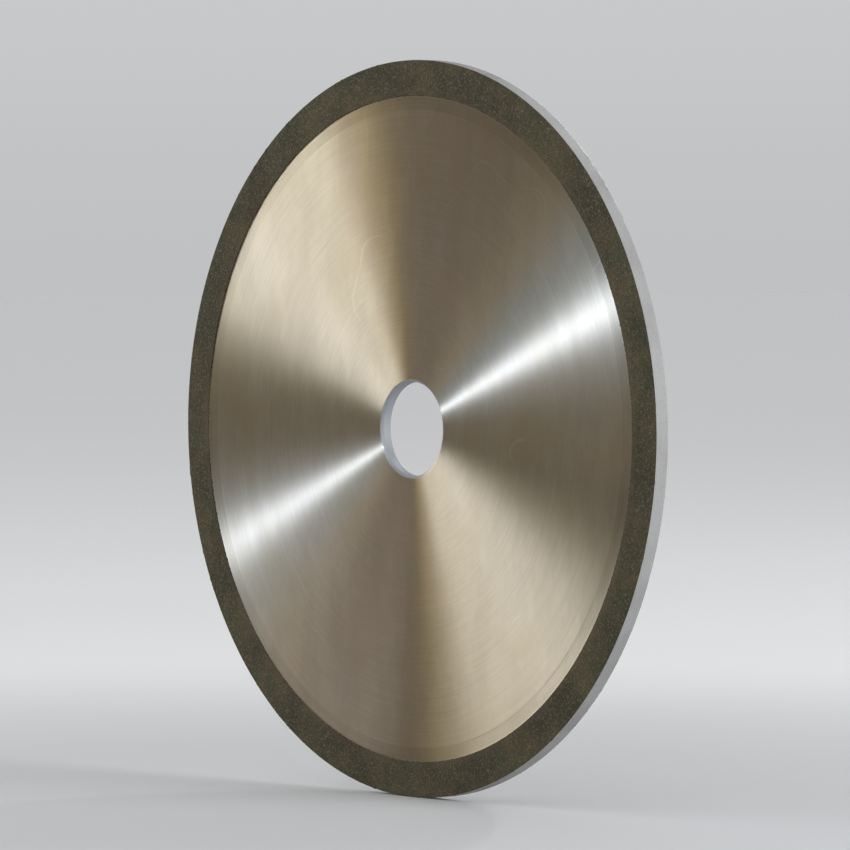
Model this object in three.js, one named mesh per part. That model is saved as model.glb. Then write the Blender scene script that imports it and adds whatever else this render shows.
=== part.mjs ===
// A flat diamond grinding wheel: a turned steel core, a diamond-free transition ring keyed on to the
// core's edge, and the diamond rim that is sintered on to that ring. Millimetres, +Z up. The wheel stands
// on edge and spins about Y; its front face looks along -Y, and the origin is its centre.

import * as THREE from 'three';

// Driving dimensions, in millimetres.
const WHEEL_DIAMETER = 250;
const RIM_THICKNESS = 5;
const DIAMOND_DEPTH = 10;
const RIM_CORNER_BEVEL = 0.25;

const TRANSITION_DEPTH = 2;

// The core's faces lie this far below the rim's, so that only the rim touches the work.
const CORE_SIDE_RELIEF = 0.2;
const CORE_EDGE_BEVEL = 0.2;

const BORE_DIAMETER = 32;
const BORE_CHAMFER = 0.8;

// The keying groove round the core's edge is a dovetail: wider at its floor than at its mouth.
const KEY_GROOVE_DEPTH = 1;
const KEY_GROOVE_MOUTH = 1.2;
const KEY_GROOVE_FLOOR = 1.8;

// Radial and side room between one ring and the next.
const SEAT_CLEARANCE = 0.05;

// Flats around each turned surface.
const FACETS = 120;

const rimOuterRadius = WHEEL_DIAMETER / 2;
const rimInnerRadius = rimOuterRadius - DIAMOND_DEPTH;
const transitionOuterRadius = rimInnerRadius - SEAT_CLEARANCE;
const transitionInnerRadius = rimInnerRadius - TRANSITION_DEPTH;
const coreRadius = transitionInnerRadius - SEAT_CLEARANCE;
const coreThickness = RIM_THICKNESS - 2 * CORE_SIDE_RELIEF;
const boreRadius = BORE_DIAMETER / 2;

const finishes = {
  turnedSteel: { color: 0xa39a89, roughness: 0.32, metalness: 1.0 },
  sinteredBond: { color: 0x3a3227, roughness: 0.85, metalness: 0.15 },
  diamondGrit: { color: 0x464234, roughness: 0.9, metalness: 0.1 },
};

// Turns a half section, given as [radius, distance from the middle plane] points that run from the bore
// side outwards over the face, into a solid of revolution about Y. The back half mirrors the front half,
// and the outline closes on itself.
function turnedRing(name, halfSection, finish) {
  const front = halfSection.map(([radius, side]) => new THREE.Vector2(radius, -side));
  const back = halfSection.map(([radius, side]) => new THREE.Vector2(radius, side)).reverse();
  const outline = [...front, ...back, front[0].clone()];
  const mesh = new THREE.Mesh(
    new THREE.LatheGeometry(outline, FACETS),
    new THREE.MeshStandardMaterial(finish),
  );
  mesh.name = name;
  return mesh;
}

// The steel body: a plain bore with a chamfer at each mouth, two flat faces, and a dovetail groove in its
// edge.
function coreDisc() {
  const face = coreThickness / 2;
  return turnedRing('core_disc', [
    [boreRadius, face - BORE_CHAMFER],
    [boreRadius + BORE_CHAMFER, face],
    [coreRadius - CORE_EDGE_BEVEL, face],
    [coreRadius, face - CORE_EDGE_BEVEL],
    [coreRadius, KEY_GROOVE_MOUTH / 2],
    [coreRadius - KEY_GROOVE_DEPTH, KEY_GROOVE_FLOOR / 2],
  ], finishes.turnedSteel);
}

// The diamond-free ring between core and rim, as thick as the rim. Its inner rib fills the core's groove.
function transitionRing() {
  const face = RIM_THICKNESS / 2;
  const ribTip = coreRadius - KEY_GROOVE_DEPTH + SEAT_CLEARANCE;
  return turnedRing('transition_ring', [
    [ribTip, KEY_GROOVE_FLOOR / 2 - SEAT_CLEARANCE],
    [transitionInnerRadius, KEY_GROOVE_MOUTH / 2 - SEAT_CLEARANCE],
    [transitionInnerRadius, face],
    [transitionOuterRadius, face],
  ], finishes.sinteredBond);
}

// The working layer: a rectangular section whose two outer corners are broken.
function diamondRim() {
  const face = RIM_THICKNESS / 2;
  return turnedRing('diamond_rim', [
    [rimInnerRadius, face],
    [rimOuterRadius - RIM_CORNER_BEVEL, face],
    [rimOuterRadius, face - RIM_CORNER_BEVEL],
  ], finishes.diamondGrit);
}

const wheel = new THREE.Group();
wheel.add(coreDisc(), transitionRing(), diamondRim());

export default wheel;
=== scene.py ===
"""Looks of a flat diamond grinding wheel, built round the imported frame.

Lengths are in metres, in the frame's own axes: the wheel stands on edge with +Z up, spins about Y, and
its front face looks along -Y. The steel core, the transition ring and the diamond rim each replace
their plain CAD solid by a finer one, and exposed diamond grains are scattered over the rim.
"""

import logging
import math
from dataclasses import dataclass, field, replace
from enum import Enum, IntEnum

import bmesh
import bpy
import numpy as np
from mathutils import Matrix, Vector


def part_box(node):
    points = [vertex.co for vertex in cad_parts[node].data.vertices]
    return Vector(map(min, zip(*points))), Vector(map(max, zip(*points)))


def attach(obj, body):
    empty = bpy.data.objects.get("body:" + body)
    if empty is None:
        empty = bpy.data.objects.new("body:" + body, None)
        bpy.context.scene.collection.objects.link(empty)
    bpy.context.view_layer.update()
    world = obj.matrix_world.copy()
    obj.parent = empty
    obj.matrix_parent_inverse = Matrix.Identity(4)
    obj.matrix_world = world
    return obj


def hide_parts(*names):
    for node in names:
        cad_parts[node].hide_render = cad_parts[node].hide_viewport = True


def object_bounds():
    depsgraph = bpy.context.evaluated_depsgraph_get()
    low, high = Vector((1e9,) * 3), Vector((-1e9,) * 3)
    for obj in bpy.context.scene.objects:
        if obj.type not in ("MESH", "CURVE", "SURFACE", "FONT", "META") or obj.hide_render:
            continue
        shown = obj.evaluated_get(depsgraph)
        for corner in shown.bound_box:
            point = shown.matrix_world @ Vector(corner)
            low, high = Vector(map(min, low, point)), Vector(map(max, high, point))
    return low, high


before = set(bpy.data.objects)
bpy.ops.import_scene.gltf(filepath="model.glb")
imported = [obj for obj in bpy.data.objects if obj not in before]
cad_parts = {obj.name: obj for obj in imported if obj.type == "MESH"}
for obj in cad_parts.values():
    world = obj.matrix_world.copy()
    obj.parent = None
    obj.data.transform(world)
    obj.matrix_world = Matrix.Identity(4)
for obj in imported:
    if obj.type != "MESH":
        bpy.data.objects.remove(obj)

LOG = logging.getLogger("grinding_wheel")
MM = 0.001
BODY = "root"
CAD_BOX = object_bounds()

HOLD = 0.03 * MM  # How far beside a sharp corner a further point keeps its faces' shading flat.

Colour = tuple[float, float, float]
Direction = tuple[float, float, float]
Point = tuple[float, float]
Socket = bpy.types.NodeSocket
Value = float | Colour | Direction | Socket

WHITE: Colour = (1.0, 1.0, 1.0)


class Slot(Enum):
    """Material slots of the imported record."""

    CORE = "core_steel"
    TRANSITION = "transition_bond"
    DIAMOND = "diamond_layer"


# Measuring the frame


@dataclass(frozen=True)
class RingGauge:
    """Radii and half width of a turned CAD node.

    Attributes:
        bore: Smallest radius anywhere on the node.
        mouth: Smallest radius on its two side faces.
        shoulder: Largest radius on its two side faces.
        outside: Largest radius anywhere on the node.
        half_width: Distance from the middle plane to a side face.
    """

    bore: float
    mouth: float
    shoulder: float
    outside: float
    half_width: float

    @classmethod
    def of_node(cls, node: str) -> "RingGauge":
        """Measures a node's own vertices.

        Args:
            node: Name of a CAD node that is turned about Y.

        Returns:
            The node's radii and half width.
        """
        low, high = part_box(node)
        half_width = (high[1] - low[1]) / 2
        tolerance = 0.01 * MM
        points = [vertex.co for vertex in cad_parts[node].data.vertices]
        radii = [math.hypot(point.x, point.z) for point in points]
        on_face = [
            radius for radius, point in zip(radii, points) if abs(point.y) > half_width - tolerance
        ]
        return cls(min(radii), min(on_face), max(on_face), max(radii), half_width)


# Wiring node trees


class Wiring:
    """Adds nodes to one node tree and joins their sockets."""

    def __init__(self, tree: bpy.types.NodeTree) -> None:
        """Keeps the tree that nodes are added to."""
        self.tree = tree

    def node(self, kind: str, **settings: object) -> bpy.types.Node:
        """Adds a node.

        Args:
            kind: Blender's type name of the node.
            **settings: Properties set on the node before its sockets are used.

        Returns:
            The new node.
        """
        made = self.tree.nodes.new(kind)
        for name, value in settings.items():
            setattr(made, name, value)
        return made

    def feed(self, socket: Socket, value: Value) -> None:
        """Joins a socket to another one, or sets its own value.

        Args:
            socket: Input socket that receives the value.
            value: Output socket, number, vector or colour.
        """
        if isinstance(value, bpy.types.NodeSocket):
            self.tree.links.new(value, socket)
        elif isinstance(value, tuple) and len(socket.default_value) == len(value) + 1:
            socket.default_value = (*value, 1.0)
        else:
            socket.default_value = value

    def fill(self, node: bpy.types.Node, **values: Value) -> None:
        """Feeds a node's inputs by name, with underscores for spaces."""
        for name, value in values.items():
            self.feed(node.inputs[name.replace("_", " ")], value)

    def math(self, operation: str, first: Value, second: Value = 0.0) -> Socket:
        """Adds a Math node.

        Args:
            operation: Name of the operation.
            first: First operand.
            second: Second operand, unused by one-operand operations.

        Returns:
            The result.
        """
        made = self.node("ShaderNodeMath", operation=operation)
        self.feed(made.inputs[0], first)
        self.feed(made.inputs[1], second)
        return made.outputs[0]

    def plus(self, first: Value, second: Value) -> Socket:
        """Adds two numbers."""
        return self.math("ADD", first, second)

    def minus(self, first: Value, second: Value) -> Socket:
        """Takes the second number from the first."""
        return self.math("SUBTRACT", first, second)

    def times(self, first: Value, second: Value) -> Socket:
        """Multiplies two numbers."""
        return self.math("MULTIPLY", first, second)

    def length(self, first: Value, second: Value) -> Socket:
        """Works out the length of a vector in a plane from its two components."""
        return self.math("SQRT", self.plus(self.times(first, first), self.times(second, second)))

    def vector(self, operation: str, first: Value, second: Value = (0.0, 0.0, 0.0)) -> Socket:
        """Adds a Vector Math node whose result is a vector.

        Args:
            operation: Name of the operation.
            first: First operand.
            second: Second operand.

        Returns:
            The result.
        """
        made = self.node("ShaderNodeVectorMath", operation=operation)
        self.feed(made.inputs[0], first)
        self.feed(made.inputs[1], second)
        return made.outputs["Vector"]

    def scaled(self, vector: Value, factor: Value) -> Socket:
        """Scales a vector by a number."""
        made = self.node("ShaderNodeVectorMath", operation="SCALE")
        self.fill(made, Vector=vector, Scale=factor)
        return made.outputs["Vector"]

    def split(self, vector: Value) -> tuple[Socket, Socket, Socket]:
        """Splits a vector into its three components."""
        made = self.node("ShaderNodeSeparateXYZ")
        self.feed(made.inputs[0], vector)
        return made.outputs[0], made.outputs[1], made.outputs[2]

    def joined(self, x: Value, y: Value, z: Value) -> Socket:
        """Joins three numbers into a vector."""
        made = self.node("ShaderNodeCombineXYZ")
        for socket, value in zip(made.inputs, (x, y, z)):
            self.feed(socket, value)
        return made.outputs[0]

    def spread(
        self, value: Value, low: Value, high: Value, new_low: Value = 0.0, new_high: Value = 1.0
    ) -> Socket:
        """Maps a range of numbers smoothly to another range.

        Args:
            value: Number to map.
            low: Start of the old range.
            high: End of the old range.
            new_low: Result at and before the start.
            new_high: Result at and past the end.

        Returns:
            The mapped number.
        """
        made = self.node("ShaderNodeMapRange", interpolation_type="SMOOTHSTEP")
        self.fill(made, Value=value, From_Min=low, From_Max=high, To_Min=new_low, To_Max=new_high)
        return made.outputs["Result"]

    def blend(self, factor: Value, first: Value, second: Value, mode: str = "MIX") -> Socket:
        """Mixes two colours.

        Args:
            factor: Share of the second colour.
            first: First colour.
            second: Second colour.
            mode: Blend mode.

        Returns:
            The mixed colour.
        """
        made = self.node("ShaderNodeMix", data_type="RGBA", blend_type=mode)
        self.feed(made.inputs["Factor"], factor)
        self.feed(made.inputs[6], first)
        self.feed(made.inputs[7], second)
        return made.outputs[2]

    def noise(
        self, place: Value, scale: float, detail: float = 2.0, dimensions: str = "3D", rough: float = 0.5
    ) -> Socket:
        """Adds a Noise texture.

        Args:
            place: Where it is read: a vector, or a number for one dimension.
            scale: Repeats for each unit of place.
            detail: Number of octaves.
            dimensions: "1D" or "3D".
            rough: Share of each further octave.

        Returns:
            The noise, from 0 to 1 about 0.5.
        """
        made = self.node("ShaderNodeTexNoise", noise_dimensions=dimensions)
        self.feed(made.inputs["W" if dimensions == "1D" else "Vector"], place)
        self.fill(made, Scale=scale, Detail=detail, Roughness=rough)
        return made.outputs["Fac"]

    def cells(self, place: Value, scale: float) -> bpy.types.Node:
        """Adds a Voronoi texture of random cells, whose distance and colour are its outputs."""
        made = self.node("ShaderNodeTexVoronoi")
        self.fill(made, Vector=place, Scale=scale)
        return made

    def bumped(self, height: Socket, depth: float) -> Socket:
        """Adds a Bump node.

        Args:
            height: Height from 0 to 1.
            depth: Height of 1 in metres.

        Returns:
            The bumped normal.
        """
        made = self.node("ShaderNodeBump")
        self.fill(made, Height=height, Distance=depth)
        return made.outputs[0]


@dataclass(frozen=True)
class PolarPlace:
    """Where a shaded point is, on a wheel that turns about Y.

    Attributes:
        position: The point itself.
        radius: Its distance from the axis.
        side: Its distance from the middle plane, negative at the front.
        round: Unit vector along the direction of turning.
        outward: Unit vector away from the axis.
    """

    position: Socket
    radius: Socket
    side: Socket
    round: Socket
    outward: Socket

    @classmethod
    def wired(cls, wiring: Wiring) -> "PolarPlace":
        """Builds the place from the object's own coordinates.

        Args:
            wiring: Tree that the nodes are added to.

        Returns:
            The sockets of the place.
        """
        position = wiring.node("ShaderNodeTexCoord").outputs["Object"]
        x, y, z = wiring.split(position)
        flat = wiring.joined(x, 0.0, z)
        outward = wiring.vector("NORMALIZE", flat)
        turning = wiring.vector("CROSS_PRODUCT", (0.0, 1.0, 0.0), outward)
        return cls(position, wiring.length(x, z), y, turning, outward)


# Finishes


@dataclass(frozen=True)
class Pattern:
    """A random pattern that fades in between two levels of its noise.

    Attributes:
        scale: Repeats in each unit of length.
        low: Level of the noise at which the pattern starts to show.
        high: Level of the noise at which it shows most.
        most: Share that then shows.
        detail: Number of octaves.
        rough: Share of each further octave.
    """

    scale: float
    low: float
    high: float
    most: float = 1.0
    detail: float = 2.0
    rough: float = 0.5

    def noise(self, wiring: Wiring, place: Socket, unit: float = 1.0, dimensions: str = "3D") -> Socket:
        """Adds the pattern's noise.

        Args:
            wiring: Tree that it is added to.
            place: Where it is read.
            unit: Length in metres that the scale counts repeats in.
            dimensions: "1D" or "3D".

        Returns:
            The noise, from 0 to 1.
        """
        return wiring.noise(place, self.scale / unit, self.detail, dimensions, self.rough)

    def share(self, wiring: Wiring, noise: Socket) -> Socket:
        """Works out how much of the pattern shows at a level of its noise."""
        return wiring.spread(noise, self.low, self.high, 0.0, self.most)

    def shown(self, wiring: Wiring, place: Socket, unit: float = 1.0) -> Socket:
        """Adds the noise and works out how much of the pattern shows."""
        return self.share(wiring, self.noise(wiring, place, unit))


@dataclass(frozen=True)
class Finish:
    """A named surface finish that builds its own material."""

    name: str

    def material(self) -> bpy.types.Material:
        """Builds the material.

        Returns:
            A node material with one Principled shader, wired by this finish.
        """
        made = bpy.data.materials.new(self.name)
        made.use_nodes = True
        made.node_tree.nodes.clear()
        wiring = Wiring(made.node_tree)
        shader = wiring.node("ShaderNodeBsdfPrincipled")
        output = wiring.node("ShaderNodeOutputMaterial")
        wiring.fill(output, Surface=shader.outputs[0])
        self.wire(wiring, shader, PolarPlace.wired(wiring))
        return made

    def wire(self, wiring: Wiring, shader: bpy.types.Node, place: PolarPlace) -> None:
        """Wires the finish into the shader.

        Args:
            wiring: Tree of the material.
            shader: Its Principled shader.
            place: Where the shaded point is.
        """
        raise NotImplementedError


class Lay(Enum):
    """Surface that the turned marks run round on."""

    FACE = "flat face"
    BORE = "bore or edge"


@dataclass(frozen=True)
class TurnedSteel(Finish):
    """Steel with fine marks left by a tool that went round the axis.

    Attributes:
        tint: Colour of the clean steel.
        stain: Colour of the warm film that lies on it in patches.
        scratch: Colour of the handling scratches.
        pit: Colour of the pits.
        metallic: Share of bare metal, less than 1 under a dull skin.
        gloss: Gloss of that skin.
        roughness: Mean roughness within a mark.
        anisotropy: How far a mark stretches a highlight, from 0 to 1.
        mark_pitch: Mean distance from one mark to the next.
        steepness: How far the marks' flanks tilt, as a slope.
        wander: How far the marks stray from a true circle, as a slope.
        unroll: Length that one turn of the marks' noise is squeezed into, as a radius.
        wear: Slightly darker wear along the marks, in mark pitches.
        wear_tone: Brightness of the wear.
        ring_scale: Broad rings of uneven roughness in each metre.
        wipes: Faint wiping marks.
        wipe_stretch: Scale of the wiping marks along each axis.
        wipe_tone: Brightness of the wiping marks.
        film: Patches of the film.
        handled: Patches that hold handling scratches.
        scratch_scale: Scale of the noise whose middle level the scratches follow.
        scratch_edge: Distances from that level at which a scratch is full and gone.
        pit_scale: Cells in each metre that may hold a pit.
        pit_share: Share of those cells that have one.
        pit_radius: Radius of a pit in cells.
        pit_depth: How strongly a pit shows.
        lay: Surface that the marks run round on.
    """

    tint: Colour = (0.80, 0.79, 0.79)
    stain: Colour = (0.70, 0.66, 0.60)
    scratch: Colour = (0.95, 0.95, 0.90)
    pit: Colour = (0.20, 0.16, 0.12)
    metallic: float = 1.0
    gloss: float = 0.5
    roughness: float = 0.33
    anisotropy: float = 1.0
    mark_pitch: float = 0.16 * MM
    steepness: float = 0.09
    wander: float = 0.03
    unroll: float = 1.6 * MM
    wear: Pattern = Pattern(0.3, 0.36, 0.64, detail=4.0, rough=0.75)
    wear_tone: float = 0.91
    ring_scale: float = 160.0
    wipes: Pattern = Pattern(95.0, 0.38, 0.62, detail=3.0, rough=0.65)
    wipe_stretch: Direction = (1.0, 1.0, 0.35)
    wipe_tone: float = 0.93
    film: Pattern = Pattern(26.0, 0.42, 0.72, 0.6, 4.0, 0.6)
    handled: Pattern = Pattern(31.0, 0.54, 0.62, 0.35)
    scratch_scale: float = 17.0
    scratch_edge: Point = (0.0012, 0.0035)
    pit_scale: float = 160.0
    pit_share: float = 0.12
    pit_radius: float = 0.022
    pit_depth: float = 0.7
    lay: Lay = Lay.FACE

    def wire(self, wiring: Wiring, shader: bpy.types.Node, place: PolarPlace) -> None:
        """Wires marks, rings, stains, scratches and faint pits."""
        on_face = self.lay is Lay.FACE
        across = place.outward if on_face else wiring.joined(0.0, 1.0, 0.0)
        travel = place.radius if on_face else place.side
        turned = wiring.scaled(place.outward, self.unroll)
        unrolled = wiring.vector("ADD", turned, wiring.joined(0.0, travel, 0.0))
        wipes = self.wipes.noise(wiring, wiring.vector("MULTIPLY", place.position, self.wipe_stretch))
        rings = wiring.noise(travel, self.ring_scale, dimensions="1D")
        uneven = wiring.plus(wiring.times(rings, 0.4), wiring.times(wipes, 0.6))
        wiring.fill(
            shader,
            Base_Color=self.coloured(wiring, place.position, unrolled, wipes),
            Metallic=self.metallic,
            Specular_IOR_Level=self.gloss,
            Anisotropic=self.anisotropy,
            Roughness=wiring.spread(uneven, 0.32, 0.68, self.roughness * 0.975, self.roughness * 1.025),
            Tangent=across,
            Normal=self.marked(wiring, place, unrolled, across),
        )

    def coloured(self, wiring: Wiring, position: Socket, unrolled: Socket, wipes: Socket) -> Socket:
        """Wires the colour.

        Args:
            wiring: Tree of the material.
            position: Shaded point.
            unrolled: Shaded point with its way round the wheel squeezed together.
            wipes: Noise of the wiping marks.

        Returns:
            The colour.
        """
        worn = tuple(self.wear_tone * channel for channel in self.tint)
        clean = wiring.blend(self.wear.shown(wiring, unrolled, self.mark_pitch), self.tint, worn)
        wiped = wiring.blend(self.wipes.share(wiring, wipes), clean, (self.wipe_tone,) * 3, "MULTIPLY")
        stained = wiring.blend(self.film.shown(wiring, position), wiped, self.stain)
        level = wiring.minus(wiring.noise(position, self.scratch_scale, 1.0), 0.5)
        line = wiring.spread(wiring.math("ABSOLUTE", level), *self.scratch_edge, 1.0, 0.0)
        scratched = wiring.blend(
            wiring.times(line, self.handled.shown(wiring, position)), stained, self.scratch
        )
        cells = wiring.cells(position, self.pit_scale)
        near = wiring.math("LESS_THAN", cells.outputs["Distance"], self.pit_radius)
        chosen = wiring.math("LESS_THAN", wiring.split(cells.outputs["Color"])[0], self.pit_share)
        pit = wiring.times(wiring.times(near, chosen), self.pit_depth)
        return wiring.blend(pit, scratched, self.pit)

    def marked(self, wiring: Wiring, place: PolarPlace, unrolled: Socket, across: Socket) -> Socket:
        """Wires the normal, tilted by the marks' flanks.

        Args:
            wiring: Tree of the material.
            place: Where the shaded point is.
            unrolled: Shaded point with its way round the wheel squeezed together.
            across: Unit vector across the marks.

        Returns:
            The normal.
        """
        marks = wiring.noise(unrolled, 1 / self.mark_pitch, rough=0.6)
        elsewhere = wiring.vector("ADD", unrolled, (0.3, 0.0, 0.0))
        strays = wiring.noise(elsewhere, 0.6 / self.mark_pitch)
        tilt = wiring.times(wiring.minus(marks, 0.5), self.steepness)
        stray = wiring.times(wiring.minus(strays, 0.5), self.wander)
        flank = wiring.vector("ADD", wiring.scaled(across, tilt), wiring.scaled(place.round, stray))
        facing = wiring.node("ShaderNodeNewGeometry").outputs["Normal"]
        return wiring.vector("NORMALIZE", wiring.vector("ADD", facing, flank))


@dataclass(frozen=True)
class SinteredBond(Finish):
    """Dense, matt bond with pores, small grains and brown and green mottling.

    Attributes:
        brown: Warm tone of the mottling.
        green: Cool tone of the mottling.
        dark: Tone of the pores.
        light: Tone of the small grains.
        speck: Tone of the rare bright specks.
        mottle: Size of the mottling.
        grain: Size of the pores and grains.
        patches: The mottling.
        clouds: Broad darker clouds, in sizes of the mottling.
        pores: The pores.
        grains: The small grains.
        depth: Height of the grains.
        speck_size: Size of the cells that may hold a bright speck.
        speck_share: Share of those cells that hold one.
        speck_edge: Distances in cells at which a speck is full and gone.
        roughness: Mean roughness.
        gloss: Specular level.
    """

    brown: Colour = (0.087, 0.063, 0.0245)
    green: Colour = (0.057, 0.058, 0.0195)
    dark: Colour = (0.016, 0.013, 0.006)
    light: Colour = (0.135, 0.113, 0.056)
    speck: Colour = (0.34, 0.32, 0.21)
    mottle: float = 4.0 * MM
    grain: float = 0.42 * MM
    patches: Pattern = Pattern(1.0, 0.40, 0.60, 1.0, 4.0, 0.65)
    clouds: Pattern = Pattern(0.2, 0.36, 0.64, 0.5)
    pores: Pattern = Pattern(1.0, 0.50, 0.38, 0.65, 3.0, 0.7)
    grains: Pattern = Pattern(0.55, 0.51, 0.66, 0.85, 3.0, 0.8)
    depth: float = 0.12 * MM
    speck_size: float = 0.6 * MM
    speck_share: float = 0.02
    speck_edge: Point = (0.12, 0.34)
    roughness: float = 0.68
    gloss: float = 0.35

    def wire(self, wiring: Wiring, shader: bpy.types.Node, place: PolarPlace) -> None:
        """Wires mottling, pores, grains and specks."""
        at = place.position
        pores = self.pores.noise(wiring, at, self.grain)
        grains = self.grains.noise(wiring, at, self.grain)
        mottled = wiring.blend(self.patches.shown(wiring, at, self.mottle), self.brown, self.green)
        clouded = wiring.blend(self.clouds.shown(wiring, at, self.mottle), mottled, self.dark)
        pitted = wiring.blend(self.pores.share(wiring, pores), clouded, self.dark)
        grained = wiring.blend(self.grains.share(wiring, grains), pitted, self.light)
        cells = wiring.cells(at, 1 / self.speck_size)
        near = wiring.spread(cells.outputs["Distance"], *self.speck_edge, 1.0, 0.0)
        chosen = wiring.math("LESS_THAN", wiring.split(cells.outputs["Color"])[0], self.speck_share)
        wiring.fill(
            shader,
            Base_Color=wiring.blend(wiring.times(near, chosen), grained, self.speck),
            Roughness=wiring.spread(grains, 0.35, 0.75, self.roughness + 0.1, self.roughness - 0.2),
            Specular_IOR_Level=self.gloss,
            Normal=wiring.bumped(
                wiring.plus(wiring.times(pores, 0.6), wiring.times(grains, 0.4)), self.depth
            ),
        )


@dataclass(frozen=True)
class TruedBondPaintedLight(Finish):
    """The rim's running surface, dressed true, with scratches round the wheel; it is painted far paler than
    the sides, partly as the dressed bond's own tone and partly as painted light for the light this face
    catches.

    Attributes:
        tint: Colour between the scratches, pale partly as painted light.
        scratch: Colour of the scratches.
        dull: Colour of the dull patches.
        grain: Colour of the grains.
        scratch_pitch: Mean distance from one scratch to the next.
        scratches: The scratches, in scratch pitches.
        patches: The dull patches.
        grains: The grains.
        depth: Height of the scratches and grains.
        roughness: Mean roughness.
    """

    # Pale tones: partly the dressed bond's own colour, partly painted light standing in for the light that
    # the running surface catches.
    tint: Colour = (0.36, 0.36, 0.355)
    scratch: Colour = (0.46, 0.46, 0.455)
    dull: Colour = (0.27, 0.265, 0.25)
    grain: Colour = (0.19, 0.185, 0.16)
    scratch_pitch: float = 0.25 * MM
    scratches: Pattern = Pattern(1.0, 0.35, 0.65, 0.6, rough=0.7)
    patches: Pattern = Pattern(60.0, 0.4, 0.7, 0.4, 3.0)
    grains: Pattern = Pattern(1700.0, 0.5, 0.75, 0.45, 3.0, 0.7)
    depth: float = 0.03 * MM
    roughness: float = 0.48

    def wire(self, wiring: Wiring, shader: bpy.types.Node, place: PolarPlace) -> None:
        """Wires scratches, grains and dull patches on a pale tone that is partly painted light."""
        scratches = self.scratches.noise(wiring, place.side, self.scratch_pitch, "1D")
        grains = self.grains.noise(wiring, place.position)
        striped = wiring.blend(self.scratches.share(wiring, scratches), self.tint, self.scratch)
        dulled = wiring.blend(self.patches.shown(wiring, place.position), striped, self.dull)
        wiring.fill(
            shader,
            Base_Color=wiring.blend(self.grains.share(wiring, grains), dulled, self.grain),
            Roughness=wiring.spread(grains, 0.3, 0.7, self.roughness - 0.1, self.roughness + 0.15),
            Normal=wiring.bumped(
                wiring.plus(wiring.times(grains, 0.5), wiring.times(scratches, 0.5)), self.depth
            ),
        )


@dataclass(frozen=True)
class DiamondCrystal(Finish):
    """Exposed synthetic diamond: glossy, from smoky to pale yellow-green.

    Attributes:
        smoky: Darkest grains.
        yellow: Lightest grains.
        tones: Tone of one grain after another.
        frost: Frosting of their faces.
        depth: Height of the frosting.
        gloss: Roughness of the clearest and the most frosted spots.
        refraction: Index of refraction.
    """

    smoky: Colour = (0.10, 0.095, 0.060)
    yellow: Colour = (0.34, 0.33, 0.19)
    tones: Pattern = Pattern(900.0, 0.35, 0.65, detail=1.0)
    frost: Pattern = Pattern(5000.0, 0.3, 0.7)
    depth: float = 0.01 * MM
    gloss: Point = (0.12, 0.35)
    refraction: float = 2.0

    def wire(self, wiring: Wiring, shader: bpy.types.Node, place: PolarPlace) -> None:
        """Wires a tone for each grain and a slightly frosted gloss."""
        frost = self.frost.noise(wiring, place.position)
        wiring.fill(
            shader,
            Base_Color=wiring.blend(self.tones.shown(wiring, place.position), self.smoky, self.yellow),
            Roughness=wiring.spread(frost, self.frost.low, self.frost.high, *self.gloss),
            IOR=self.refraction,
            Normal=wiring.bumped(frost, self.depth),
        )


@dataclass(frozen=True)
class StageFinish(Finish):
    """Plain pale studio sheet, painted darker round the wheel as a pool of painted shade.

    Attributes:
        near: Tone under the wheel, darkened as painted shade.
        far: Tone from the far radius on.
        reach: Radii between which the painted shade fades into the far tone.
        cloud: Brightness of the faint clouds in it.
        cloud_scale: Clouds in each metre.
        roughness: Roughness everywhere.
    """

    # Painted shade: the floor is painted darker under and round the wheel.
    near: Colour = (0.67, 0.675, 0.69)
    far: Colour = (0.965, 0.97, 0.98)
    reach: Point = (0.18, 0.75)
    cloud: Colour = (0.98, 0.98, 0.98)
    cloud_scale: float = 3.0
    roughness: float = 0.85

    def wire(self, wiring: Wiring, shader: bpy.types.Node, place: PolarPlace) -> None:
        """Wires a barely uneven matt tone, with painted shade darkening it round the wheel."""
        x, y, _ = wiring.split(place.position)
        # Painted shade: a darker pool of floor colour round the wheel.
        painted_shade_tone = wiring.blend(wiring.spread(wiring.length(x, y), *self.reach), self.near, self.far)
        cloud = wiring.blend(wiring.noise(place.position, self.cloud_scale), WHITE, self.cloud)
        wiring.fill(
            shader, Base_Color=wiring.blend(1.0, painted_shade_tone, cloud, "MULTIPLY"), Roughness=self.roughness
        )


# Making meshes


@dataclass(frozen=True)
class Corner:
    """A corner of an outline.

    Attributes:
        radius: Distance from the axis.
        side: Distance from the middle plane.
        rounding: Length of edge that the rounding takes up on each side of the corner.
        slot: Index of the material on the stretch from this corner to the next.
        lift: Share of the ragged displacement that the corner follows.
    """

    radius: float
    side: float
    rounding: float = 0.0
    slot: int = 0
    lift: float = 0.0


def mirrored(back: list[Corner]) -> list[Corner]:
    """Closes a half outline by adding its mirror image across the middle plane.

    Args:
        back: Corners of the half with positive sides, in order.

    Returns:
        The corners of the whole outline.
    """
    front = [
        replace(corner, side=-corner.side, slot=back[index - 1].slot if index else corner.slot)
        for index, corner in enumerate(back)
    ]
    return [*back, *reversed(front)]


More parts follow.
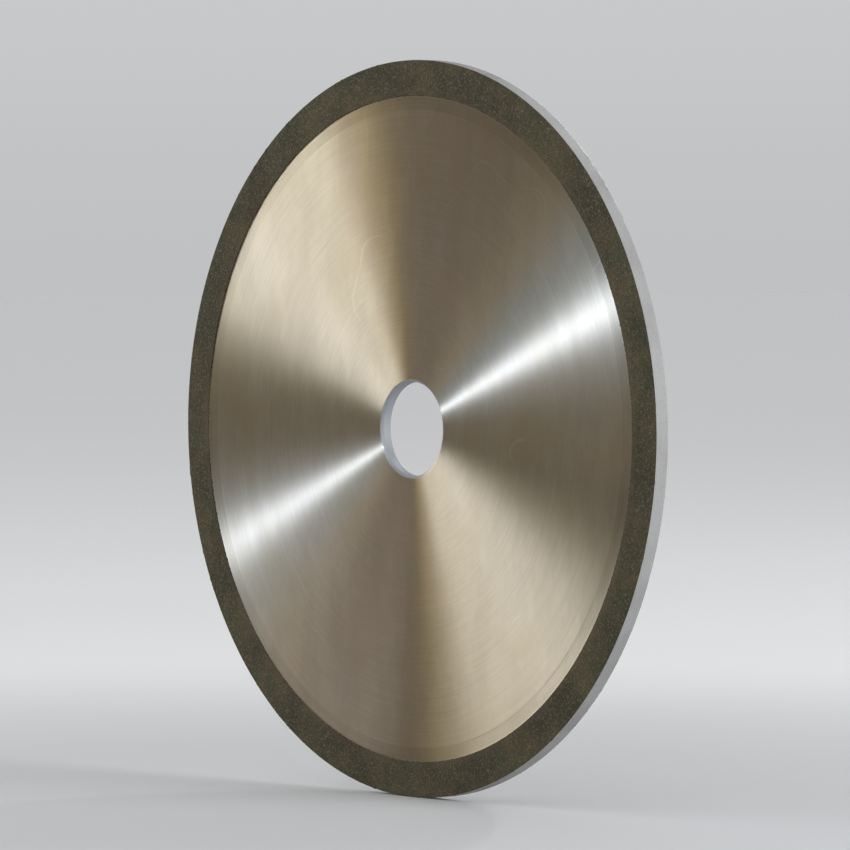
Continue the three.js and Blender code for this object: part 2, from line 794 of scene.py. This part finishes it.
@dataclass(frozen=True)
class Outline:
    """A closed cross-section.

    Attributes:
        points: Array of radius and side.
        slots: Material index of the stretch after each point.
        lift: Share of the ragged displacement that each point follows.
    """

    points: np.ndarray
    slots: list[int]
    lift: np.ndarray

    @classmethod
    def of_corners(cls, corners: list[Corner], arc_steps: int = 4) -> "Outline":
        """Rounds the corners of a closed outline.

        Args:
            corners: Corners in order round the outline.
            arc_steps: Stretches that each rounded corner is made of.

        Returns:
            The outline.
        """
        points: list[Point] = []
        slots: list[int] = []
        lift: list[float] = []
        for index, corner in enumerate(corners):
            here = Vector((corner.radius, corner.side))
            before, after = corners[index - 1], corners[(index + 1) % len(corners)]
            start = here + (Vector((before.radius, before.side)) - here).normalized() * corner.rounding
            end = here + (Vector((after.radius, after.side)) - here).normalized() * corner.rounding
            for step in range(arc_steps + 1 if corner.rounding else 1):
                share = step / arc_steps if corner.rounding else 1.0
                curve = start * (1 - share) ** 2 + here * 2 * share * (1 - share) + end * share**2
                points.append(tuple(curve))
                slots.append(corner.slot if share > 0.5 else before.slot)
                lift.append(corner.lift)
        return cls(np.array(points), slots, np.array(lift))


def turned_mesh(name: str, sections: np.ndarray, slots: list[int]) -> bpy.types.Mesh:
    """Joins cross-sections round the axis into one closed, smooth mesh.

    Args:
        name: Name of the mesh.
        sections: Array of steps by points by 2, the radius and side of each point at each step.
        slots: Material index of the stretch after each point.

    Returns:
        The mesh, with its faces pointing out.
    """
    steps, count, _ = sections.shape
    turn = angles(steps)[:, None]
    radius, side = sections[..., 0], sections[..., 1]
    points = np.stack([radius * np.cos(turn), side, radius * np.sin(turn)], axis=-1).reshape(-1, 3)
    faces, indices = [], []
    for step in range(steps):
        here, there = step * count, (step + 1) % steps * count
        for point in range(count):
            after = (point + 1) % count
            faces.append((here + point, here + after, there + after, there + point))
            indices.append(slots[point])
    mesh = bpy.data.meshes.new(name)
    mesh.from_pydata(points.tolist(), [], faces)
    mesh.polygons.foreach_set("material_index", indices)
    point_out(mesh)
    return mesh


def point_out(mesh: bpy.types.Mesh) -> None:
    """Turns every face of a closed mesh outwards and shades it smooth.

    Args:
        mesh: Mesh that is changed.
    """
    work = bmesh.new()
    work.from_mesh(mesh)
    bmesh.ops.recalc_face_normals(work, faces=work.faces)
    for face in work.faces:
        face.smooth = True
    work.to_mesh(mesh)
    work.free()
    mesh.update()


def placed(name: str, mesh: bpy.types.Mesh, materials: list[bpy.types.Material]) -> bpy.types.Object:
    """Puts a mesh into the scene as an object at the origin.

    Args:
        name: Name of the object.
        mesh: Its mesh.
        materials: Its materials, in the order of the mesh's material indices.

    Returns:
        The object.
    """
    for material in materials:
        mesh.materials.append(material)
    made = bpy.data.objects.new(name, mesh)
    bpy.context.scene.collection.objects.link(made)
    return made


def angles(steps: int) -> np.ndarray:
    """Lists the angle of each step round the wheel."""
    return np.linspace(0, 2 * math.pi, steps, endpoint=False)


@dataclass(frozen=True)
class Ripple:
    """A smooth, random share that closes on itself round the wheel.

    Attributes:
        waves: Fewest and most waves in one turn.
        count: Number of waves that are added up.
        mean: Mean share.
        swing: How far the waves move it.
        least: Smallest share.
    """

    waves: tuple[int, int]
    count: int
    mean: float
    swing: float
    least: float

    def shares(self, turn: np.ndarray, seed: int, envelope: np.ndarray | float = 1.0) -> np.ndarray:
        """Works out the share at each angle.

        Args:
            turn: Angles in radians.
            seed: Seed of the random draws.
            envelope: Share of the swing that is used at each angle.

        Returns:
            The shares, at most 1.
        """
        draw = np.random.default_rng(seed)
        numbers = draw.integers(*self.waves, self.count)
        phases = draw.uniform(0, 2 * math.pi, self.count)
        total = sum(np.sin(number * turn + phase) for number, phase in zip(numbers, phases))
        wave = total / math.sqrt(2 * self.count)
        return np.clip(self.mean + self.swing * wave * envelope, self.least, 1.0)


class GeometryTree:
    """A Geometry Nodes tree with named inputs, applied to an object once and taken off again."""

    def __init__(self, name: str) -> None:
        """Starts an empty tree with a geometry input and output."""
        self.tree = bpy.data.node_groups.new(name, "GeometryNodeTree")
        for way in ("INPUT", "OUTPUT"):
            self.tree.interface.new_socket("Geometry", in_out=way, socket_type="NodeSocketGeometry")
        self.values: dict[str, object] = {}
        self.wiring = Wiring(self.tree)
        self.entry = self.wiring.node("NodeGroupInput")
        self.exit = self.wiring.node("NodeGroupOutput")

    def offer(self, kind: str, **values: object) -> list[Socket]:
        """Adds named inputs of one kind to the tree.

        Args:
            kind: Socket type without its NodeSocket prefix.
            **values: Value that the modifier gives each input, by name, with underscores for spaces.

        Returns:
            The inputs' sockets inside the tree, in the same order.
        """
        sockets = []
        for key, value in values.items():
            name = key.replace("_", " ")
            made = self.tree.interface.new_socket(name, in_out="INPUT", socket_type=f"NodeSocket{kind}")
            self.values[made.identifier] = value
            sockets.append(self.entry.outputs[name])
        return sockets

    def join(self, kind: str, settings: dict[str, object] | None = None, **inputs: Value) -> bpy.types.Node:
        """Adds a node and feeds its inputs.

        Args:
            kind: Blender's type name of the node.
            settings: Properties of the node.
            **inputs: Inputs by name, with underscores for spaces.

        Returns:
            The new node.
        """
        made = self.wiring.node(kind, **(settings or {}))
        self.wiring.fill(made, **inputs)
        return made

    def finish(self, geometry: Socket, material: Socket) -> None:
        """Ends the tree in Realize Instances and Set Material.

        Args:
            geometry: Geometry that leaves the tree.
            material: Material that it is given.
        """
        real = self.join("GeometryNodeRealizeInstances", Geometry=geometry)
        dressed = self.join("GeometryNodeSetMaterial", Geometry=real.outputs[0], Material=material)
        self.wiring.fill(self.exit, Geometry=dressed.outputs[0])

    def run(self, host: bpy.types.Object) -> None:
        """Applies the tree to an object and leaves a plain mesh on it.

        Args:
            host: Object whose mesh enters the tree and is replaced by the result.
        """
        modifier = host.modifiers.new(self.tree.name, "NODES")
        modifier.node_group = self.tree
        for identifier, value in self.values.items():
            modifier[identifier] = value
        graph = bpy.context.evaluated_depsgraph_get()
        result = bpy.data.meshes.new_from_object(
            host.evaluated_get(graph), preserve_all_data_layers=True, depsgraph=graph
        )
        host.modifiers.clear()
        host.data = result


# The wheel


class Zone(IntEnum):
    """Material indices of the core disc."""

    FACE = 0
    BAND = 1
    BORE = 2
    BURR = 3


@dataclass
class CoreDisc:
    """The turned steel body with its plain chamfered bore.

    Attributes:
        band_width: Width of the ground witness band at the edge of each face.
        band_drop: How far the band lies below the turned face.
        burr_width: Width of the fine burr at the edge of the band.
        burr_height: Greatest height of the burr above the band.
        burr_edge: Distance from the burr's crest to the edge.
        burr_fall: How far the edge's corner lies below the band.
        ragged: Share of its height that the burr has.
        groove_depth: Depth of the keying groove in the edge.
        groove_mouth: Width of the groove at the edge.
        groove_floor: Width of the groove at its floor.
        edge_break: Rounding of the machined edges.
        steps: Stretches round the wheel.
        seed: Seed of the burr's raggedness.
    """

    band_width: float = 4.6 * MM
    band_drop: float = 0.02 * MM
    burr_width: float = 0.45 * MM
    burr_height: float = 0.05 * MM
    burr_edge: float = 0.02 * MM
    burr_fall: float = 0.1 * MM
    ragged: Ripple = Ripple((80, 500), 60, 0.45, 0.5, 0.1)
    groove_depth: float = 1.0 * MM
    groove_mouth: float = 1.2 * MM
    groove_floor: float = 1.8 * MM
    edge_break: float = 0.08 * MM
    steps: int = 1440
    seed: int = 3
    gauge: RingGauge = field(default_factory=lambda: RingGauge.of_node("core_disc"))

    def half_section(self) -> list[Corner]:
        """Lists the corners of the back half, from the bore over the face to the groove's floor."""
        size = self.gauge
        chamfer = size.mouth - size.bore
        band = size.shoulder - self.band_width
        low = size.half_width - self.band_drop
        hold = 2 * self.edge_break
        return [
            Corner(size.bore, size.half_width - chamfer - hold, 0.0, Zone.BORE),
            Corner(size.bore, size.half_width - chamfer, self.edge_break, Zone.BORE),
            Corner(size.mouth, size.half_width, self.edge_break, Zone.FACE),
            Corner(size.mouth + hold, size.half_width, 0.0, Zone.FACE),
            Corner(band - hold, size.half_width, 0.0, Zone.FACE),
            Corner(band, size.half_width, 0.0, Zone.BAND),
            Corner(band + hold, low, 0.0, Zone.BAND),
            Corner(band + 2 * hold, low, 0.0, Zone.BAND),
            Corner(size.outside - self.burr_width - hold, low, 0.0, Zone.BAND),
            Corner(size.outside - self.burr_width, low, 0.0, Zone.BURR),
            Corner(size.outside - self.burr_width / 2, low, 0.0, Zone.BURR, 0.8),
            Corner(size.outside - self.burr_edge, low, 0.0, Zone.BORE, 1.0),
            Corner(size.outside, low - self.burr_fall, 0.0, Zone.BORE),
            Corner(size.outside, self.groove_mouth / 2, 0.0, Zone.BORE),
            Corner(size.outside - self.groove_depth, self.groove_floor / 2, 0.0, Zone.BORE),
        ]

    def build(self, face: Finish, band: Finish, bore: Finish, burr: Finish) -> bpy.types.Object:
        """Builds the disc.

        Args:
            face: Finish of the turned faces.
            band: Finish of the witness bands.
            bore: Finish of the bore, chamfers and edge.
            burr: Finish of the burr.

        Returns:
            The disc's object.
        """
        outline = Outline.of_corners(mirrored(self.half_section()))
        sections = np.repeat(outline.points[None], self.steps, axis=0)
        for side, seed in ((1, self.seed), (-1, self.seed + 1)):
            ragged = self.ragged.shares(angles(self.steps), seed)
            raised = outline.lift * (np.sign(outline.points[:, 1]) == side)
            sections[..., 1] += side * self.burr_height * ragged[:, None] * raised[None]
        mesh = turned_mesh("core_disc_fine", sections, outline.slots)
        finishes = (face, band, bore, burr)
        made = placed("core_disc_fine", mesh, [finish.material() for finish in finishes])
        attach(made, BODY)
        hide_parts("core_disc")
        return made


@dataclass
class TransitionRing:
    """The diamond-free ring of bond, with a ragged lip of flash smeared over the core's edge.

    Attributes:
        lip_reach: Furthest that the flash reaches in over the core.
        lip_depth: How far the flash slopes down towards the core's face.
        lip_thickness: Thickness of the flash between its root and its upper edge.
        lip_root: Width of the ring's own edge before the lip begins.
        ragged: Share of its reach that the flash has.
        envelope: Share of that raggedness that each stretch of the wheel has.
        rib_length: Length of the rib that fills the core's groove.
        rib_root: Width of the rib where it leaves the ring.
        rib_tip: Width of the rib at its tip.
        steps: Stretches round the wheel.
        seed: Seed of the flash's outline.
    """

    lip_reach: float = 0.62 * MM
    lip_depth: float = 0.19 * MM
    lip_thickness: float = 0.06 * MM
    lip_root: float = 0.1 * MM
    ragged: Ripple = Ripple((90, 600), 80, 0.25, 0.45, 0.03)
    envelope: Ripple = Ripple((1, 5), 4, 0.5, 0.5, 0.2)
    rib_length: float = 1.0 * MM
    rib_root: float = 1.1 * MM
    rib_tip: float = 1.7 * MM
    steps: int = 1440
    seed: int = 11
    gauge: RingGauge = field(default_factory=lambda: RingGauge.of_node("transition_ring"))

    def lip(self, seed: int) -> np.ndarray:
        """Works out how far the flash reaches in at each step.

        Args:
            seed: Seed of the random waves.

        Returns:
            The reach at each step, from almost nothing to lip_reach.
        """
        turn = angles(self.steps)
        envelope = self.envelope.shares(turn, seed + 1)
        return self.lip_reach * self.ragged.shares(turn, seed, envelope)

    def half_section(self, outside: float) -> list[Corner]:
        """Lists the corners of the back half, from the rib's tip over the lip to the rim.

        Args:
            outside: Radius at which the ring meets the rim.

        Returns:
            The corners, whose lift is the share of the lip's reach that they move inwards.
        """
        size = self.gauge
        low = size.half_width - self.lip_depth
        return [
            Corner(size.mouth - self.rib_length, self.rib_tip / 2),
            Corner(size.mouth, self.rib_root / 2),
            Corner(size.mouth, low - HOLD),
            Corner(size.mouth, low - HOLD * 2 / 3, lift=1.0),
            Corner(size.mouth, low + self.lip_thickness, lift=0.9),
            Corner(size.mouth, size.half_width - HOLD, lift=0.35),
            Corner(size.mouth + self.lip_root, size.half_width),
            Corner(outside - HOLD, size.half_width),
            Corner(outside, size.half_width),
            Corner(outside, size.half_width - HOLD),
        ]

    def build(self, finish: Finish, outside: float) -> bpy.types.Object:
        """Builds the ring.

        Args:
            finish: Finish of the bond.
            outside: Radius at which the ring meets the rim.

        Returns:
            The ring's object.
        """
        outline = Outline.of_corners(mirrored(self.half_section(outside)))
        sections = np.repeat(outline.points[None], self.steps, axis=0)
        front = outline.points[:, 1] < 0
        reach = np.where(front[None], self.lip(self.seed)[:, None], self.lip(self.seed + 7)[:, None])
        sections[..., 0] -= reach * outline.lift
        mesh = turned_mesh("transition_ring_fine", sections, outline.slots)
        made = placed("transition_ring_fine", mesh, [finish.material()])
        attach(made, BODY)
        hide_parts("transition_ring")
        return made


@dataclass
class DiamondRim:
    """The working layer and the diamond grains that stand out of it.

    Attributes:
        corner: Rounding of the rim's outer corners.
        stretch: Longest stretch of the cross-section.
        relief: Height of the surface's unevenness.
        relief_size: Size of the unevenness.
        calm: Width beside the transition ring over which the unevenness grows.
        chip_depth: Depth of the small chips in the outer corners.
        chip_size: Size of the chips.
        chip_reach: How far from a corner a chip reaches.
        chip_levels: Levels of the chips' noise at which they begin and are full.
        steps: Stretches round the wheel.
        grain_size: Smallest and largest diameter of an exposed grain.
        grains: Exposed grains for each square metre of rim.
        bare: Width beside the transition ring without exposed grains.
        seed: Seed of the grains.
    """

    corner: float = 0.25 * MM
    stretch: float = 0.5 * MM
    relief: float = 0.035 * MM
    relief_size: float = 0.9 * MM
    calm: float = 0.8 * MM
    chip_depth: float = 0.16 * MM
    chip_size: float = 1.6 * MM
    chip_reach: float = 0.5 * MM
    chip_levels: Point = (0.58, 0.72)
    steps: int = 1440
    grain_size: Point = (0.10 * MM, 0.24 * MM)
    grains: float = 300000.0
    bare: float = 0.3 * MM
    seed: int = 5
    gauge: RingGauge = field(default_factory=lambda: RingGauge.of_node("diamond_rim"))

    def section(self) -> bpy.types.Mesh:
        """Draws the cross-section as a closed line of short stretches about its own middle.

        Returns:
            A mesh of edges, with the radius along X and the side along Y.
        """
        size = self.gauge
        middle = (size.bore + size.outside) / 2
        back = [
            Corner(size.bore, size.half_width - HOLD),
            Corner(size.bore, size.half_width),
            Corner(size.bore + HOLD, size.half_width),
            Corner(size.outside, size.half_width, self.corner),
        ]
        rough = Outline.of_corners(mirrored(back)).points
        fine: list[tuple[float, float, float]] = []
        for here, after in zip(rough, np.roll(rough, -1, axis=0)):
            count = max(1, round(float(np.linalg.norm(after - here)) / self.stretch))
            for step in range(count):
                radius, side = here + (after - here) * step / count
                fine.append((radius - middle, side, 0.0))
        mesh = bpy.data.meshes.new("rim_section")
        mesh.from_pydata(fine, [(index, (index + 1) % len(fine)) for index in range(len(fine))], [])
        return mesh

    def ring_tree(self, sides: bpy.types.Material, edge: bpy.types.Material) -> GeometryTree:
        """Builds the tree that sweeps the cross-section round and roughens it.

        Args:
            sides: Material of the two side faces.
            edge: Material of the running surface.

        Returns:
            The tree.
        """
        made = GeometryTree("sintered_rim")
        wires = made.wiring
        inner, outer, half = made.offer(
            "Float",
            Inner_Radius=self.gauge.bore,
            Outer_Radius=self.gauge.outside,
            Half_Width=self.gauge.half_width,
        )
        relief, relief_scale, chip, chip_scale = made.offer(
            "Float",
            Relief=self.relief,
            Relief_Scale=1 / self.relief_size,
            Chip_Depth=self.chip_depth,
            Chip_Scale=1 / self.chip_size,
        )
        (steps,) = made.offer("Int", Steps=self.steps)
        side_material, edge_material = made.offer("Material", Side_Material=sides, Edge_Material=edge)

        middle = wires.times(wires.plus(outer, inner), 0.5)
        line = made.join("GeometryNodeMeshToCurve", Mesh=made.entry.outputs["Geometry"])
        circle = made.join("GeometryNodeCurvePrimitiveCircle", Resolution=steps, Radius=middle)
        swept = made.join("GeometryNodeCurveToMesh", Curve=circle.outputs[0], Profile_Curve=line.outputs[0])
        standing = (math.pi / 2, 0.0, 0.0)
        upright = made.join("GeometryNodeTransform", Geometry=swept.outputs[0], Rotation=standing)

        position = made.join("GeometryNodeInputPosition").outputs[0]
        normal = made.join("GeometryNodeInputNormal").outputs[0]
        x, side, z = wires.split(position)
        radius = wires.length(x, z)
        clear = wires.spread(radius, inner, wires.plus(inner, self.calm))
        bumps = wires.minus(self.tree_noise(made, position, relief_scale, 3.0), 0.5)
        raised = wires.times(wires.times(bumps, relief), clear)

        edge_near = wires.spread(radius, wires.minus(outer, self.chip_reach), outer)
        away = wires.math("ABSOLUTE", side)
        face_near = wires.spread(away, wires.minus(half, self.chip_reach), half)
        rare = wires.spread(self.tree_noise(made, position, chip_scale, 2.0), *self.chip_levels)
        bite = wires.times(wires.times(edge_near, face_near), rare)
        moved = wires.scaled(normal, wires.minus(raised, wires.times(bite, chip)))
        rough = made.join("GeometryNodeSetPosition", Geometry=upright.outputs[0], Offset=moved)
        smooth = made.join("GeometryNodeSetShadeSmooth", Geometry=rough.outputs[0])
        running = wires.math("LESS_THAN", wires.math("ABSOLUTE", wires.split(normal)[1]), 0.6)
        on_edge = wires.times(running, wires.math("GREATER_THAN", radius, middle))
        real = made.join("GeometryNodeRealizeInstances", Geometry=smooth.outputs[0])
        dressed = made.join("GeometryNodeSetMaterial", Geometry=real.outputs[0], Material=side_material)
        edged = made.join(
            "GeometryNodeSetMaterial",
            Geometry=dressed.outputs[0],
            Selection=on_edge,
            Material=edge_material,
        )
        wires.fill(made.exit, Geometry=edged.outputs[0])
        return made

    @staticmethod
    def tree_noise(made: GeometryTree, place: Socket, scale: Value, detail: float) -> Socket:
        """Adds a noise texture whose scale is one of the tree's inputs.

        Args:
            made: Tree that it is added to.
            place: Where it is read.
            scale: Repeats for each metre.
            detail: Number of octaves.

        Returns:
            The noise, from 0 to 1.
        """
        return made.join("ShaderNodeTexNoise", Vector=place, Scale=scale, Detail=detail).outputs[0]

    def grain_tree(self, crystal: bpy.types.Material) -> GeometryTree:
        """Builds the tree that scatters exposed grains over the rim's mesh.

        Args:
            crystal: Material of the grains.

        Returns:
            The tree.
        """
        made = GeometryTree("exposed_grains")
        wires = made.wiring
        density, small, large, inner = made.offer(
            "Float",
            Grains=self.grains,
            Smallest_Grain=self.grain_size[0],
            Largest_Grain=self.grain_size[1],
            Inner_Radius=self.gauge.bore + self.bare,
        )
        (seed,) = made.offer("Int", Seed=self.seed)
        (material,) = made.offer("Material", Crystal_Material=crystal)

        x, _, z = wires.split(made.join("GeometryNodeInputPosition").outputs[0])
        radius = wires.length(x, z)
        points = made.join(
            "GeometryNodeDistributePointsOnFaces",
            Mesh=made.entry.outputs["Geometry"],
            Selection=wires.math("GREATER_THAN", radius, inner),
            Density=density,
            Seed=seed,
        )
        grain = made.join("GeometryNodeMeshIcoSphere", Radius=0.5, Subdivisions=1)
        random, vector = "FunctionNodeRandomValue", {"data_type": "FLOAT_VECTOR"}
        turn = made.join(random, vector, Max=(math.tau,) * 3, Seed=wires.plus(seed, 1.0))
        size = made.join(random, {"data_type": "FLOAT"}, Seed=wires.plus(seed, 2.0))
        wires.feed(size.inputs[2], small)
        wires.feed(size.inputs[3], large)
        squat = made.join(random, vector, Min=(0.7, 0.7, 0.7), Seed=seed)
        scatter = made.join(
            "GeometryNodeInstanceOnPoints",
            Points=points.outputs[0],
            Instance=grain.outputs[0],
            Rotation=turn.outputs[0],
            Scale=wires.scaled(squat.outputs[0], size.outputs[1]),
        )
        made.finish(scatter.outputs[0], material)
        return made

    def build(self, sides: Finish, edge: Finish, crystal: Finish) -> list[bpy.types.Object]:
        """Builds the rim and its grains.

        Args:
            sides: Finish of the side faces.
            edge: Finish of the running surface.
            crystal: Finish of the grains.

        Returns:
            The rim's object and the grains' object.
        """
        rim = placed("diamond_rim_fine", self.section(), [])
        self.ring_tree(sides.material(), edge.material()).run(rim)
        point_out(rim.data)
        host = rim.data.copy()
        host.materials.clear()
        grains = placed("diamond_grains", host, [])
        self.grain_tree(crystal.material()).run(grains)
        for made in (rim, grains):
            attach(made, BODY)
        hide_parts("diamond_rim")
        return [rim, grains]


# The studio


class Reach(Enum):
    """What a lamp is seen by."""

    GLOSS = "reflections only"
    MATT = "matt surfaces only"


@dataclass(frozen=True)
class Softbox:
    """A rectangular lamp that shines at the wheel's centre.

    Attributes:
        name: Name of the lamp.
        towards: Direction from the wheel to the lamp.
        along: Direction that the lamp's length follows.
        distance: Distance from the wheel's centre.
        size: Length and height.
        power: Brightness of its surface.
        colour: Colour of its light.
        reach: What it is seen by.
    """

    name: str
    towards: Direction
    along: Direction
    distance: float
    size: Point
    power: float
    colour: Colour
    reach: Reach = Reach.GLOSS

    def behind(self) -> "Softbox":
        """Gives this lamp's twin on the other side of the wheel."""
        (x, y, z), (along_x, along_y, along_z) = self.towards, self.along
        return replace(
            self, name=f"{self.name}_behind", towards=(-x, -y, z), along=(-along_x, -along_y, along_z)
        )

    def build(self) -> bpy.types.Object:
        """Adds the lamp to the scene.

        Returns:
            The lamp's object.
        """
        data = bpy.data.lights.new(self.name, "AREA")
        data.shape = "RECTANGLE"
        data.size, data.size_y = self.size
        data.energy = self.power * math.pi * self.size[0] * self.size[1]
        data.color = self.colour
        made = bpy.data.objects.new(self.name, data)
        back = Vector(self.towards).normalized()
        length = Vector(self.along)
        length = (length - back * length.dot(back)).normalized()
        turn = Matrix((length, back.cross(length), back)).transposed()
        made.location = back * self.distance
        made.rotation_mode = "QUATERNION"
        made.rotation_quaternion = turn.to_quaternion()
        made.visible_camera = False
        made.visible_diffuse = self.reach is Reach.MATT
        made.visible_glossy = self.reach is Reach.GLOSS
        bpy.context.scene.collection.objects.link(made)
        return made


@dataclass
class Studio:
    """Camera, floor, surroundings and lamps.

    Attributes:
        azimuth: Direction of the camera round the wheel, in degrees from the front face's normal.
        elevation: Height of the camera above the horizon, in degrees.
        distance: Distance of the camera from the wheel's centre.
        lens: Focal length in millimetres.
        sensor: Width of the camera's sensor in millimetres.
        clip: Nearest and furthest distance that the camera sees.
        aim: Sideways and upward offset of the camera and its aim.
        floor_size: Side of the floor.
        skyline: Backdrop colour at the horizon.
        backdrop: Backdrop colour above the horizon.
        rise: Height, as a direction's Z, over which the one passes into the other.
        room: Colour of the dim room that glossy surfaces reflect.
        fill: Colour of the even light on matt surfaces.
    """

    azimuth: float = 50.4955
    elevation: float = 1.4652
    distance: float = 2.0075
    lens: float = 250.53
    sensor: float = 36.0
    clip: Point = (0.05, 100.0)
    aim: Point = (0.0028365, 0.0013337)
    floor_size: float = 80.0
    skyline: Colour = (0.527, 0.532, 0.543)
    backdrop: Colour = (0.575, 0.58, 0.595)
    rise: float = 0.05
    room: Colour = (0.087, 0.063, 0.036)
    fill: Colour = (0.615, 0.62, 0.63)

    def place_camera(self) -> None:
        """Adds the camera and makes it the scene's own."""
        data = bpy.data.cameras.new("camera")
        data.lens = self.lens
        data.sensor_width = self.sensor
        data.clip_start, data.clip_end = self.clip
        camera = bpy.data.objects.new("camera", data)
        azimuth, elevation = math.radians(self.azimuth), math.radians(self.elevation)
        back = Vector((
            math.sin(azimuth) * math.cos(elevation),
            -math.cos(azimuth) * math.cos(elevation),
            math.sin(elevation),
        ))
        turned = back.to_track_quat("Z", "Y")
        offset = turned @ Vector((self.aim[0], self.aim[1], 0.0))
        camera.location = back * self.distance + offset
        camera.rotation_mode = "QUATERNION"
        camera.rotation_quaternion = turned
        bpy.context.scene.collection.objects.link(camera)
        bpy.context.scene.camera = camera

    def lay_floor(self) -> None:
        """Lays the pale floor under the wheel's lowest point, unseen by reflections and shadows."""
        half = self.floor_size / 2
        low = CAD_BOX[0][2]
        corners = [(-half, -half, low), (half, -half, low), (half, half, low), (-half, half, low)]
        mesh = bpy.data.meshes.new("floor")
        mesh.from_pydata(corners, [], [(0, 1, 2, 3)])
        floor = placed("floor", mesh, [StageFinish("pale_floor_painted_shade").material()])
        floor.visible_glossy = False
        floor.visible_shadow = False

    def surround(self) -> None:
        """Makes the world: a pale backdrop to the camera, a dim warm room to everything glossy."""
        world = bpy.data.worlds.new("studio")
        bpy.context.scene.world = world
        world.use_nodes = True
        world.cycles.sampling_method = "NONE"
        wiring = Wiring(world.node_tree)
        background = world.node_tree.nodes["Background"]
        rays = wiring.node("ShaderNodeLightPath").outputs
        height = wiring.split(wiring.node("ShaderNodeTexCoord").outputs["Generated"])[2]
        seen = wiring.blend(wiring.spread(height, 0.0, self.rise), self.skyline, self.backdrop)
        lit = wiring.blend(rays["Is Glossy Ray"], self.fill, self.room)
        wiring.fill(background, Color=wiring.blend(rays["Is Camera Ray"], lit, seen))

    def hang_lamps(self) -> None:
        """Hangs the softboxes."""
        rows = [
            ("streak", (0.319, -0.843, 0.433), (0.808, 0.481, 0.34), 3.0, (0.14, 0.06),
             1950.0, (0.88, 0.935, 0.96)),
            ("rise", (-0.016, -0.987, 0.161), (0.988, 0.008, 0.151), 4.0, (3.05, 0.54),
             0.62, (0.92, 1.0, 0.97)),
            ("fall", (-0.141, -0.911, 0.387), (0.895, 0.05, 0.443), 4.0, (2.87, 0.71),
             0.86, (0.81, 0.985, 1.0)),
            ("slope", (-0.287, -0.815, 0.503), (0.771, 0.115, 0.627), 4.0, (2.65, 0.89),
             0.456, (1.0, 0.84, 0.56)),
            ("gold_edge", (-0.847, -0.448, 0.286), (-0.101, 0.664, 0.741), 5.0, (1.29, 0.51),
             2.19, (1.0, 0.80, 0.37)),
            ("wall", (-0.915, -0.348, 0.205), (-0.174, 0.797, 0.578), 5.0, (1.2, 1.14),
             2.37, (1.0, 0.85, 0.86)),
            ("curtain", (-0.952, -0.241, 0.189), (-0.18, 0.946, 0.269), 5.0, (1.6, 1.42),
             5.91, (1.0, 0.955, 0.66)),
            ("window", (-0.984, -0.128, 0.123), (-0.122, 0.991, 0.05), 5.0, (1.5, 0.61),
             6.36, (1.0, 0.926, 0.928)),
            ("table", (-0.880, -0.307, -0.362), (-0.2, 0.9, -0.35), 0.77, (0.25, 0.35),
             1.18, (1.0, 0.89, 0.75)),
            ("level", (-0.118, -0.993, -0.029), (0.982, -0.112, -0.154), 4.0, (2.82, 0.81),
             0.328, (1.0, 0.91, 0.67)),
            ("key", (-0.45, -0.62, 0.65), (0.8, -0.6, 0.0), 2.2, (2.0, 1.7),
             0.5, (1.0, 0.985, 0.96), Reach.MATT),
            ("edge_light", (0.93, 0.30, 0.2), (-0.31, 0.95, 0.0), 2.5, (1.2, 3.2),
             3.4, (0.93, 0.96, 1.0), Reach.MATT),
        ]
        for row in rows:
            lamp = Softbox(*row)
            lamp.build()
            if lamp.reach is Reach.GLOSS:
                lamp.behind().build()

    def build(self) -> None:
        """Builds the whole studio."""
        self.place_camera()
        self.lay_floor()
        self.surround()
        self.hang_lamps()
        bpy.context.scene.view_settings.view_transform = "Standard"


def report(made: bpy.types.Object) -> None:
    """Logs a finished piece and its number of faces."""
    LOG.info("%s: %d faces", made.name, len(made.data.polygons))


def main() -> None:
    """Builds the studio and the wheel."""
    logging.basicConfig(level=logging.INFO, format="%(name)s %(message)s")
    Studio().build()

    core = CoreDisc().build(
        TurnedSteel("turned_steel"),
        TurnedSteel("ground_band", tint=(0.70, 0.69, 0.685), roughness=0.327, wander=0.05,
                    mark_pitch=0.22 * MM, steepness=0.14),
        TurnedSteel("bored_steel", tint=(0.43, 0.455, 0.50), stain=(0.36, 0.37, 0.39), metallic=0.28,
                    gloss=0.2, roughness=0.62, anisotropy=0.3, steepness=0.1, lay=Lay.BORE),
        TurnedSteel("burred_steel", tint=(0.78, 0.77, 0.76), roughness=0.327, wander=0.05,
                    mark_pitch=0.22 * MM, steepness=0.14),
    )
    report(core)
    rim = DiamondRim()
    bond = SinteredBond("transition_bond", brown=(0.100, 0.070, 0.032), green=(0.074, 0.064, 0.026),
                        speck_share=0.004, grain=0.36 * MM)
    report(TransitionRing().build(bond, rim.gauge.bore))
    crystal = DiamondCrystal("diamond_crystal")
    for piece in rim.build(SinteredBond("diamond_bond"), TruedBondPaintedLight("trued_bond_painted_light"), crystal):
        report(piece)


if __name__ == "__main__":
    main()
